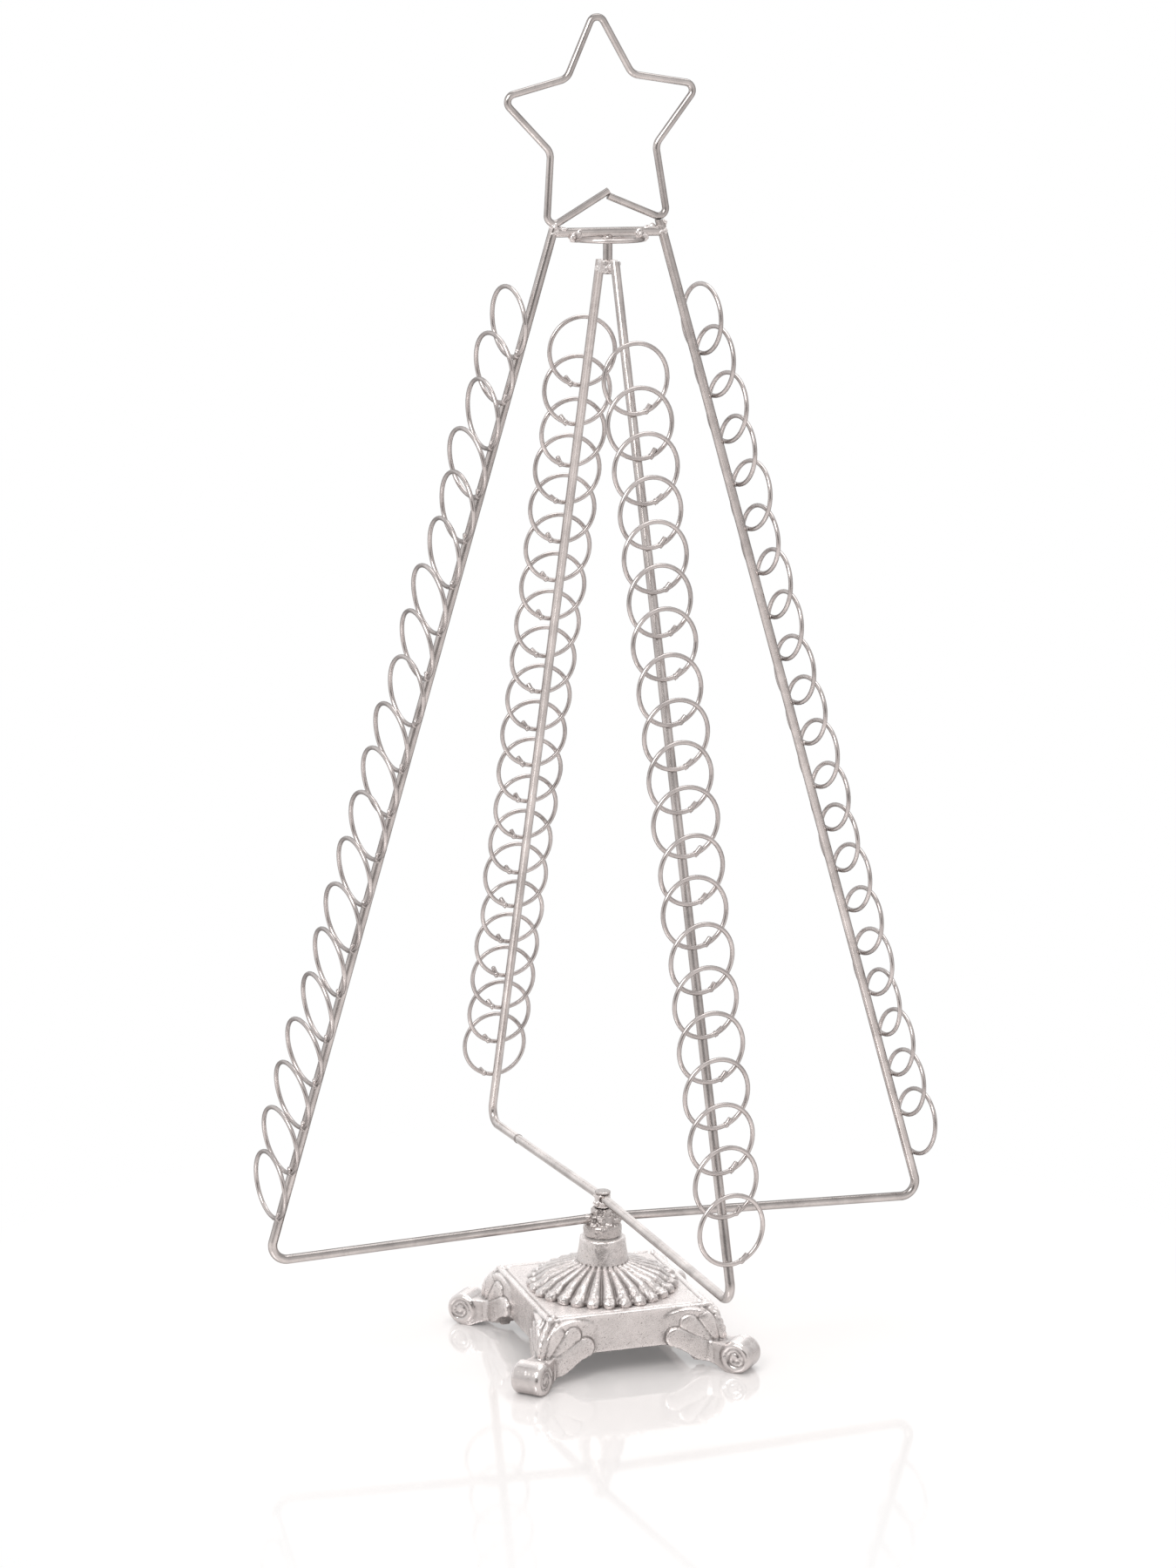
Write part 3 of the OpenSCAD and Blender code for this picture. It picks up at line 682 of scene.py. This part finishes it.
class CARDHOLDER_OT_dome(bpy.types.Operator):
    """Model the cast fluted dome and its pebbled neck"""

    bl_idname = "card_holder.dome"
    bl_label = "Fluted dome"

    def execute(self, context):
        sizes = context.scene.card_holder_casting
        obj = cad_copy("fluted_dome", "dome_casting")
        remesh(obj, sizes.dome_mesh, 2)
        co = points_of(obj)
        low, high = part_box("fluted_dome")
        reach = from_axis(co)
        skin = (co[:, 2] > low.z + 0.3 * MM) & (co[:, 2] < high.z - 0.4 * MM) & (reach > 6 * MM)
        weights(obj, "skin", skin.astype(float))
        roughen(obj, cloud("dome swell", sizes.swell_size * 0.5), sizes.swell_depth * 1.3, "skin")
        roughen(obj, cloud("dome grain", sizes.grain_size * 0.8, 3), sizes.grain_depth, "skin")
        obj.vertex_groups.clear()
        rim = ramp(reach / reach.max(), 0.76, 0.12) * skin
        co = points_of(obj)
        co[:, 2] -= (co[:, 2] - low.z) * 0.28 * rim
        set_points(obj, co)
        weights(obj, "rim", rim)
        roughen(obj, cloud("dome rim", 2.8 * MM), 1.5 * MM, "rim")
        obj.vertex_groups.clear()
        thin_out(obj, co[:, 2] < low.z + 0.3 * MM, 0.06)
        co = points_of(obj)
        reach = from_axis(co)
        phase = np.arctan2(co[:, 1], co[:, 0]) / math.tau * sizes.flute_count
        off_ridge = np.abs(phase - np.round(phase))
        # Painted shade: the valleys between the flutes are marked as crevices so the finish darkens them, in
        # addition to the shade painted from the measured depth.
        painted_flute_shade = 0.8 * ramp(off_ridge, 0.2, 0.2) * ramp(reach, NECK_RADIUS + 2 * MM, 2 * MM)
        deep = crevices(obj, sizes.crevice_rounds, 0.34 * MM)
        point_values(obj, "crevice", np.where(reach > NECK_RADIUS, np.maximum(deep, painted_flute_shade), deep))
        settle(obj, "base", "cast_silver", "cast_silver_paint", "fluted_dome")
        return {"FINISHED"}


def weld_skin(obj, sizes, bore=None, swell=0.55 * MM, dents=()):
    """Fuse joined lumps into one uneven skin.

    bore is a radius to keep clear and round. Each dent is a place and a radius in mm.
    """
    remesh(obj, sizes.weld_mesh, 3)
    co = points_of(obj)
    keep = np.ones(len(co)) if bore is None else ramp(from_axis(co), bore + 0.5 * MM, 1.2 * MM)
    weights(obj, "skin", keep)
    roughen(obj, cloud(obj.name + " swell", 3.2 * MM), swell, "skin")
    roughen(obj, cloud(obj.name + " grain", 1.0 * MM), 0.16 * MM, "skin")
    obj.vertex_groups.clear()
    if bore is not None:
        co = points_of(obj)
        reach = np.maximum(from_axis(co), 1e-6)
        inside = reach < bore
        co[inside, :2] *= (bore / reach[inside])[:, None]
        set_points(obj, co)
    # The crevice values paint shade into the welds' hollows and dents, and a highlight onto their ridges.
    deep = crevices(obj, 12, 0.45 * MM)
    co, no = points_of(obj), normals_of(obj)
    for place, radius in dents:
        sunk = np.clip(1 - np.linalg.norm(co - np.array(place) * MM, axis=1) / (radius * MM), 0, 1)
        co -= no * sunk[:, None] * 1.3 * MM
        deep = np.maximum(deep, np.clip(3 * sunk, 0, 1) - (sunk == 0))
    set_points(obj, co)
    point_values(obj, "crevice", deep)
    return obj


def lumps_at(name, seed, spots):
    """Copies of a few different lumps at these spots."""
    protos = [lump(f"{name} lump {k}", seed + k) for k in range(3)]
    made = [mesh_copy(protos[k % 3], f"{name}_{k}", matrix) for k, matrix in enumerate(spots)]
    for proto in protos:
        drop(proto)
    return made


def lumpy_copy(cad_node, name, seed, spots):
    """A merged copy of a CAD node joined with weld lumps at these spots."""
    return joined([cad_copy(cad_node, name), *lumps_at(name, seed, spots)], name)


class CARDHOLDER_OT_pivot_welds(bpy.types.Operator):
    """Model the lumpy hub, the lower bush and the top eye with the weld metal on them"""

    bl_idname = "card_holder.pivot_welds"
    bl_label = "Hub, bush and eye welds"

    def execute(self, context):
        sizes = context.scene.card_holder_welds
        low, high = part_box("swivel_hub")
        base, top = low.z / MM, high.z / MM
        spots = []
        for turn, reach, lift, big in (
                (10, 6.6, 8.6, 3.2), (48, 7.2, 7.0, 2.7), (95, 6.8, 8.0, 3.0), (140, 7.4, 6.8, 2.5),
                (178, 6.8, 8.6, 3.3), (216, 7.4, 6.6, 3.0), (246, 6.4, 9.0, 2.6), (280, 7.4, 6.8, 2.9),
                (322, 7.0, 7.8, 3.0)):
            a = math.radians(turn)
            place = (reach * math.cos(a), reach * math.sin(a), base + lift)
            spots.append(spot(place, (big, big * 0.9, big * 0.75), a))
        spots += [spot((-9.0, 0, base + 9.8), (2.8, 3.1, 2.8)),
                  spot((9.0, 0, base + 9.7), (2.6, 3.0, 2.7)),
                  spot((-1.5, -5.4, base + 10.6), (2.0, 1.6, 2.6)),
                  spot((2.8, -5.0, base + 11.6), (1.7, 1.5, 1.6))]
        hub = lumpy_copy("swivel_hub", "hub_casting", sizes.seed, spots)
        dents = (((-2.6, -4.4, top - 1.6), 2.6), ((4.6, -3.4, top - 2.2), 2.0),
                 ((-6.2, -4.6, top - 5.4), 1.8))
        weld_skin(hub, sizes, 4.2 * MM, 0.8 * MM, dents)
        # The underside is lifted clear of the spindle's collar.
        co = points_of(hub)
        lowest, brim = co[:, 2].min(), low.z + MM
        sag = np.clip((brim - co[:, 2]) / (brim - lowest), 0, 1)
        co[:, 2] += sag * (low.z + 0.05 * MM - lowest)
        set_points(hub, co)
        settle(hub, "outer_frame", "cast_silver", "hub_silver", "swivel_hub")

        low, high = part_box("lower_pivot_bush")
        mid = (low.z + high.z) / 2 / MM
        out = Vector((math.cos(INNER_TURN), math.sin(INNER_TURN), 0))
        side = Vector((-out.y, out.x, 0))
        spots = [spot((*(out * s * 4.9).to_2d(), mid + 0.2), (2.6, 2.9, 2.2), INNER_TURN) for s in (-1, 1)]
        spots += [spot((*(side * 3.6).to_2d(), mid - 1.6), (1.5, 2.2, 1.5), INNER_TURN),
                  spot((*(side * -3.7 + out * 1.6).to_2d(), mid - 1.0), (1.7, 2.0, 1.7), INNER_TURN),
                  spot((*(side * -3.0 - out * 2.6).to_2d(), mid - 1.9), (1.5, 1.6, 1.2), INNER_TURN)]
        bush = lumpy_copy("lower_pivot_bush", "bush_weld", sizes.seed + 10, spots)
        dents = (((-2.2, -3.8, mid + 1.2), 1.6), ((2.6, -4.4, mid - 0.6), 1.4))
        weld_skin(bush, sizes, 2.2 * MM, dents=dents)
        settle(bush, "inner_frame", "hardware", "weld_silver", "lower_pivot_bush")

        low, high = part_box("top_pivot_eye")
        mid = (low.z + high.z) / 2 / MM
        spots = []
        for s, shift, lift, big in (
                (-1, 0.6, 0.6, 3.0), (1, -0.5, 0.4, 2.8), (-1, -1.4, -1.4, 2.0), (1, 1.2, 1.6, 1.9)):
            place = (*(out * s * 7.6 + side * shift).to_2d(), mid + lift)
            spots.append(spot(place, (2.5, 2.6, big), INNER_TURN))
        eye = lumpy_copy("top_pivot_eye", "eye_weld", sizes.seed + 20, spots)
        settle(weld_skin(eye, sizes, 2.5 * MM), "inner_frame", "hardware", "weld_silver", "top_pivot_eye")
        return {"FINISHED"}


class CARDHOLDER_OT_crown_welds(bpy.types.Operator):
    """Model the weld metal that joins the rails, crossbar, ring, pin and star at the top"""

    bl_idname = "card_holder.crown_welds"
    bl_label = "Crown welds"

    def execute(self, context):
        sizes = context.scene.card_holder_welds
        low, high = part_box("top_crossbar")
        cross, reach = (low.z + high.z) / 2 / MM, high.x / MM
        spots = []
        for s in (-1, 1):
            spots += [spot((s * (reach + 0.6), 0, cross + 0.4), (3.1, 2.9, 2.6)),
                      spot((s * (reach + 0.2), 0.2 * s, cross + 2.6), (2.9, 2.6, 1.9)),
                      spot((s * (reach - 3.4), -0.4, cross + 1.7), (3.4, 2.0, 1.6), 0.2 * s)]
        spots += [spot((reach - 7.0, -0.6, cross + 2.2), (2.6, 1.5, 1.3), 0.3),
                  spot((reach - 4.6, -0.9, cross + 3.1), (1.6, 1.1, 1.5)),
                  spot((reach + 1.6, -0.6, cross + 4.6), (1.9, 1.8, 1.6)),
                  spot((-reach - 0.8, -0.5, cross + 4.2), (2.0, 1.8, 1.5))]
        rails = joined(lumps_at("rail_top_welds", sizes.seed + 30, spots), "rail_top_welds")
        settle(weld_skin(rails, sizes), "outer_frame", "frame_wire", "weld_silver")

        ring_low, ring_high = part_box("top_ring")
        ring_reach = (ring_high.x - ring_low.x) / 2 / MM - 1.15
        spots = []
        for s in (-1, 1):
            spots += [spot((s * ring_reach, -0.4, cross - 1.9), (3.7, 3.4, 3.0)),
                      spot((s * (ring_reach - 1.9), -1.4, cross - 0.3), (2.6, 1.9, 2.2)),
                      spot((s * (ring_reach + 1.5), -2.0, cross - 2.7), (2.3, 1.8, 1.9))]
        spots.append(spot((0, 0, cross - 2.5), (2.9, 2.9, 1.3)))
        ring = joined(lumps_at("top_ring_welds", sizes.seed + 40, spots), "top_ring_welds")
        settle(weld_skin(ring, sizes), "outer_frame", "frame_wire", "weld_silver")
        return {"FINISHED"}


def ring_frames(name):
    """Centre, outward normal, down and side directions and bead place of a row's rings, top ring first."""
    mesh = bmesh.new()
    mesh.from_mesh(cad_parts[name].data)
    bmesh.ops.remove_doubles(mesh, verts=mesh.verts, dist=1e-6)
    seen, frames = set(), []
    for start in mesh.verts:
        if start in seen:
            continue
        stack, island = [start], []
        seen.add(start)
        while stack:
            vert = stack.pop()
            island.append(vert.co[:])
            for edge in vert.link_edges:
                other = edge.other_vert(vert)
                if other not in seen:
                    seen.add(other)
                    stack.append(other)
        co = np.array(island)
        mean = co.mean(0)
        axes = np.linalg.svd(co - mean, full_matrices=False)[2]
        flat = (co - mean) @ axes[:2].T
        fit = np.linalg.lstsq(np.c_[2 * flat, np.ones(len(flat))], (flat ** 2).sum(1), rcond=None)[0]
        centre = Vector(mean + fit[:2] @ axes[:2])
        normal = Vector(axes[2])
        if normal.dot(Vector((centre.x, centre.y, 0))) < 0:
            normal.negate()
        down = Vector((0, 0, -1))
        down = (down - normal * down.dot(normal)).normalized()
        spread = (co - np.array(centre)) @ np.array(normal)
        reach = np.linalg.norm(co - np.array(centre) - spread[:, None] * np.array(normal), axis=1)
        bead = Vector(co[np.argmax(np.hypot(reach - RING_RADIUS, spread))])
        frames.append((centre, normal, down, normal.cross(down) * -1, bead))
    mesh.free()
    return sorted(frames, key=lambda f: -f[0].z)


def weld_spot(rail, centre, down, side):
    """The place where a ring meets its rail, sought along the lower part of the ring."""
    pairs = []
    for step in range(-30, 31):
        angle = math.radians(step)
        point = centre + (down * math.cos(angle) + side * math.sin(angle)) * RING_RADIUS
        pairs.append((point, rail.closest_point_on_mesh(point)[1]))
    point, place = min(pairs, key=lambda pair: (pair[0] - pair[1]).length)
    return (point + place) / 2


def tipped_cylinder(vertices, radius, depth, tips):
    """A cylinder along Z with drawn-out tips, each an end (-1 or 1), a rise and a scale."""
    bpy.ops.object.select_all(action="DESELECT")
    bpy.ops.mesh.primitive_cylinder_add(vertices=vertices, radius=radius, depth=depth)
    obj = bpy.context.object
    bpy.ops.object.mode_set(mode="EDIT")
    bpy.ops.mesh.select_mode(type="FACE")
    for end, rise, scale in tips:
        mesh = bmesh.from_edit_mesh(obj.data)
        for face in mesh.faces:
            face.select_set(face.normal.z * end > 0.9)
        mesh.select_flush_mode()
        bmesh.update_edit_mesh(obj.data)
        bpy.ops.mesh.extrude_region_move(TRANSFORM_OT_translate={"value": (0, 0, end * rise)})
        bpy.ops.transform.resize(value=(scale, scale, 1))
    bpy.ops.object.mode_set(mode="OBJECT")
    return obj


class CARDHOLDER_OT_bar_seam(bpy.types.Operator):
    """Model the raised seam round the far inner bar, where two lengths of wire meet"""

    bl_idname = "card_holder.bar_seam"
    bl_label = "Bar seam"

    def execute(self, context):
        sizes = context.scene.card_holder_welds
        out = -Vector((math.cos(INNER_TURN), math.sin(INNER_TURN), 0))
        undersides = []
        for reach in (sizes.seam_reach - 6 * MM, sizes.seam_reach + 6 * MM):
            hit, place, _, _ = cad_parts["inner_far_wire"].ray_cast(out * reach, Vector((0, 0, 1)))
            if not hit:
                raise RuntimeError("no bar stands over the place of the seam")
            undersides.append(place)
        along = (undersides[1] - undersides[0]).normalized()
        rise = (Vector((0, 0, 1)) - along * along.z).normalized()
        centre = (undersides[0] + undersides[1]) / 2 + rise * WIRE_RADIUS
        tips = ((-1, 0.2 * MM, 0.9), (1, 0.2 * MM, 0.9))
        proto = tipped_cylinder(40, sizes.seam_radius, sizes.seam_length, tips)
        turn = along.to_track_quat("Z", "Y").to_matrix().to_4x4()
        seam = mesh_copy(proto, "far_bar_seam", Matrix.Translation(centre) @ turn)
        drop(proto)
        # The whole seam is marked as lying in a groove, so its finish darkens it all over.
        point_values(seam, "crevice", np.full(len(seam.data.vertices), 0.6))
        settle(seam, "inner_frame", "frame_wire", "hub_silver")
        return {"FINISHED"}


class CARDHOLDER_OT_ring_joints(bpy.types.Operator):
    """Model the weld under each card ring and the cut wire end where the ring closes"""

    bl_idname = "card_holder.ring_joints"
    bl_label = "Ring joints"

    def execute(self, context):
        sizes = context.scene.card_holder_welds
        chance = random.Random(sizes.seed)
        seats = [lump(f"seat lump {k}", sizes.seed + 60 + k, 2) for k in range(3)]
        tips = ((1, 0.3 * MM, 0.72), (-1, 0.6 * MM, 1.2))
        stub = tipped_cylinder(12, sizes.stub_radius, sizes.stub_length, tips)
        for row, body in RING_ROWS.items():
            made = []
            for k, (centre, normal, down, side, bead) in enumerate(ring_frames(row)):
                turn = Matrix((side, normal, -down)).transposed().to_4x4()
                contact = weld_spot(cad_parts[row.replace("_rings", "_wire")], centre, down, side)
                size = sizes.seat_size * chance.uniform(0.85, 1.1)
                grow = Matrix.Diagonal((size * 1.1, size * 0.85, size * 0.7, 1.0))
                seat = Matrix.Translation(contact) @ turn @ grow
                made.append(mesh_copy(seats[k % 3], f"{row}_seat_{k}", seat))
                radial = (bead - centre - normal * normal.dot(bead - centre)).normalized()
                tangent = (radial * radial.dot(down) - down).normalized()
                lift = math.radians(chance.uniform(22, 48))
                along = tangent * math.cos(lift) - radial * math.sin(lift)
                along = (along + normal * chance.uniform(0.05, 0.3)).normalized()
                across = along.cross(normal).normalized()
                basis = Matrix((across, along.cross(across), along)).transposed().to_4x4()
                root = centre + radial * RING_RADIUS + along * sizes.stub_length * 0.38
                stretch = Matrix.Diagonal((1, 1, chance.uniform(0.8, 1.15), 1))
                made.append(mesh_copy(stub, f"{row}_stub_{k}", Matrix.Translation(root) @ basis @ stretch))
            name = row.replace("_rings", "_ring_joints")
            settle(joined(made, name), body, "ring_wire", "ring_wire_silver")
            bpy.ops.object.shade_smooth_by_angle(angle=math.radians(50))
        for proto in (*seats, stub):
            drop(proto)
        return {"FINISHED"}


def softbox(name, place, aim, size, power, colour):
    """A square lamp at place that looks at aim."""
    lamp = bpy.data.lights.new(name, "AREA")
    lamp.shape, lamp.size, lamp.energy, lamp.color = "SQUARE", size, power, colour
    obj = bpy.data.objects.new(name, lamp)
    obj.location = place
    obj.rotation_euler = (Vector(aim) - Vector(place)).to_track_quat("-Z", "Y").to_euler()
    bpy.context.scene.collection.objects.link(obj)


def studio_world(scene):
    """White to the eye; to all else a room bright above and behind, grey to the right, dark in front."""
    world = bpy.data.worlds.new("studio")
    world.use_nodes = True
    scene.world = world
    tree = world.node_tree
    tree.nodes.clear()
    out = node(tree, "ShaderNodeOutputWorld")
    parts = node(tree, "ShaderNodeSeparateXYZ")
    view = node(tree, "ShaderNodeTexCoord").outputs["Generated"]
    wire_up(tree, view, parts.inputs["Vector"])
    toward = node(tree, "ShaderNodeVectorMath", operation="DOT_PRODUCT")
    wire_up(tree, view, toward.inputs[0])
    toward.inputs[1].default_value = DARK_SIDE
    front = ranged(tree, toward.outputs["Value"], 0.72, 0.98, 1.0, 0.0)
    above = ranged(tree, parts.outputs["Z"], 0.2, 0.65, 0.0, 1.0)
    room = mixed(tree, front, (0.14, 0.128, 0.123, 1), (0.95, 0.93, 0.92, 1))
    room = mixed(tree, ranged(tree, parts.outputs["X"], 0.35, 0.9, 0.0, 1.0), room, (0.72, 0.69, 0.68, 1))
    room = mixed(tree, above, room, (1.0, 0.98, 0.97, 1))
    soft = node(tree, "ShaderNodeBackground")
    wire_up(tree, room, soft.inputs["Color"])
    soft.inputs["Strength"].default_value = 0.8
    white = node(tree, "ShaderNodeBackground")
    white.inputs["Color"].default_value = (1, 1, 1, 1)
    white.inputs["Strength"].default_value = 1.0
    path = node(tree, "ShaderNodeLightPath")
    rear = ranged(tree, parts.outputs["Y"], 0.1, 0.6, 0.0, 1.0)
    seen = maths(tree, "MULTIPLY", path.outputs["Is Glossy Ray"], rear)
    for ray in ("Is Transmission Ray", "Is Camera Ray"):
        seen = maths(tree, "MAXIMUM", seen, path.outputs[ray])
    mix = node(tree, "ShaderNodeMixShader")
    wire_up(tree, seen, mix.inputs["Fac"])
    wire_up(tree, soft.outputs["Background"], mix.inputs[1])
    wire_up(tree, white.outputs["Background"], mix.inputs[2])
    wire_up(tree, mix.outputs["Shader"], out.inputs["Surface"])


def floor_finish(colour, setup):
    """Glossy white floor that fades to white for the eye, past the shadow and the reflection of the base."""
    material = bpy.data.materials.new("studio_floor")
    material.use_nodes = True
    tree = material.node_tree
    shader = tree.nodes["Principled BSDF"]
    shader.inputs["Base Color"].default_value = opaque(colour)
    shader.inputs["Roughness"].default_value = 0.06
    shader.inputs["IOR"].default_value = 2.5
    reach = node(tree, "ShaderNodeVectorMath", operation="LENGTH")
    wire_up(tree, node(tree, "ShaderNodeTexCoord").outputs["Object"], reach.inputs[0])
    away = ranged(tree, reach.outputs["Value"], setup.floor_near, setup.floor_far, 0.0, 1.0)
    eye = node(tree, "ShaderNodeLightPath").outputs["Is Camera Ray"]
    glow = node(tree, "ShaderNodeEmission")
    wire_up(tree, maths(tree, "MULTIPLY", eye, setup.floor_lift), glow.inputs["Strength"])
    both = node(tree, "ShaderNodeAddShader")
    wire_up(tree, shader.outputs["BSDF"], both.inputs[0])
    wire_up(tree, glow.outputs["Emission"], both.inputs[1])
    white = node(tree, "ShaderNodeEmission")
    fade = node(tree, "ShaderNodeMixShader")
    wire_up(tree, maths(tree, "MULTIPLY", eye, away), fade.inputs["Fac"])
    wire_up(tree, both.outputs["Shader"], fade.inputs[1])
    wire_up(tree, white.outputs["Emission"], fade.inputs[2])
    wire_up(tree, fade.outputs["Shader"], tree.nodes["Material Output"].inputs["Surface"])
    return material


class CARDHOLDER_OT_stage(bpy.types.Operator):
    """Set the white floor, the soft light and the camera"""

    bl_idname = "card_holder.stage"
    bl_label = "Studio stage"

    def execute(self, context):
        scene, setup = context.scene, context.scene.card_holder_stage
        bpy.ops.object.select_all(action="DESELECT")
        bpy.ops.mesh.primitive_plane_add(size=30.0)
        floor = context.object
        floor.name = "studio_floor"
        floor.data.materials.append(floor_finish(scene.card_holder_finish.floor, setup))
        studio_world(scene)
        softbox("key_softbox", (-1.3, -1.1, 1.7), (0, 0, 0.2), 1.1, setup.key_power, (1.0, 0.99, 0.98))
        softbox("top_softbox", (0.35, 0.35, 2.1), (0, 0, 0.2), 1.4, setup.top_power, (1.0, 0.99, 0.985))
        lens = bpy.data.cameras.new("photo_camera")
        lens.lens, lens.sensor_width, lens.sensor_fit = setup.lens, 36.0, "AUTO"
        lens.clip_start, lens.clip_end = 0.01, 100.0
        camera = bpy.data.objects.new("photo_camera", lens)
        scene.collection.objects.link(camera)
        flat = Vector((math.sin(setup.camera_heading), math.cos(setup.camera_heading), 0))
        ahead = flat * math.cos(setup.camera_pitch) - Vector((0, 0, math.sin(setup.camera_pitch)))
        right = ahead.cross(Vector((0, 0, 1))).normalized()
        below = ahead.cross(right)
        c, s = math.cos(setup.camera_roll), math.sin(setup.camera_roll)
        turned_right, turned_up = right * c - below * s, -(right * s + below * c)
        camera.matrix_world = (
            Matrix.Translation(Vector(setup.camera_place))
            @ Matrix((turned_right, turned_up, -ahead)).transposed().to_4x4())
        scene.camera = camera
        scene.view_settings.view_transform = "Standard"
        return {"FINISHED"}


OPERATORS = (
    CARDHOLDER_OT_finishes,
    CARDHOLDER_OT_plinth,
    CARDHOLDER_OT_dome,
    CARDHOLDER_OT_pivot_welds,
    CARDHOLDER_OT_crown_welds,
    CARDHOLDER_OT_bar_seam,
    CARDHOLDER_OT_ring_joints,
    CARDHOLDER_OT_stage,
)


SETTINGS = {
    "card_holder_casting": CastingSizes,
    "card_holder_welds": WeldSizes,
    "card_holder_finish": FinishColours,
    "card_holder_stage": StageSetup,
}


class CARDHOLDER_PT_sidebar(bpy.types.Panel):
    """Lists the pieces of the card holder"""

    bl_idname = "CARDHOLDER_PT_sidebar"
    bl_label = "Greeting card holder"
    bl_space_type = "VIEW_3D"
    bl_region_type = "UI"
    bl_category = "Card holder"

    def draw(self, context):
        for operator in OPERATORS:
            self.layout.operator(operator.bl_idname)
        for name, kind in SETTINGS.items():
            for setting in kind.__annotations__:
                self.layout.prop(getattr(context.scene, name), setting)


CLASSES = (*SETTINGS.values(), *OPERATORS, CARDHOLDER_PT_sidebar)


def register():
    for item in CLASSES:
        bpy.utils.register_class(item)
    for name, kind in SETTINGS.items():
        setattr(bpy.types.Scene, name, PointerProperty(type=kind))


def unregister():
    for name in SETTINGS:
        delattr(bpy.types.Scene, name)
    for item in reversed(CLASSES):
        bpy.utils.unregister_class(item)


def main():
    register()
    bpy.ops.card_holder.finishes()
    bpy.ops.card_holder.plinth()
    bpy.ops.card_holder.dome()
    bpy.ops.card_holder.pivot_welds()
    bpy.ops.card_holder.crown_welds()
    bpy.ops.card_holder.bar_seam()
    bpy.ops.card_holder.ring_joints()
    bpy.ops.card_holder.stage()


if __name__ == "__main__":
    main()
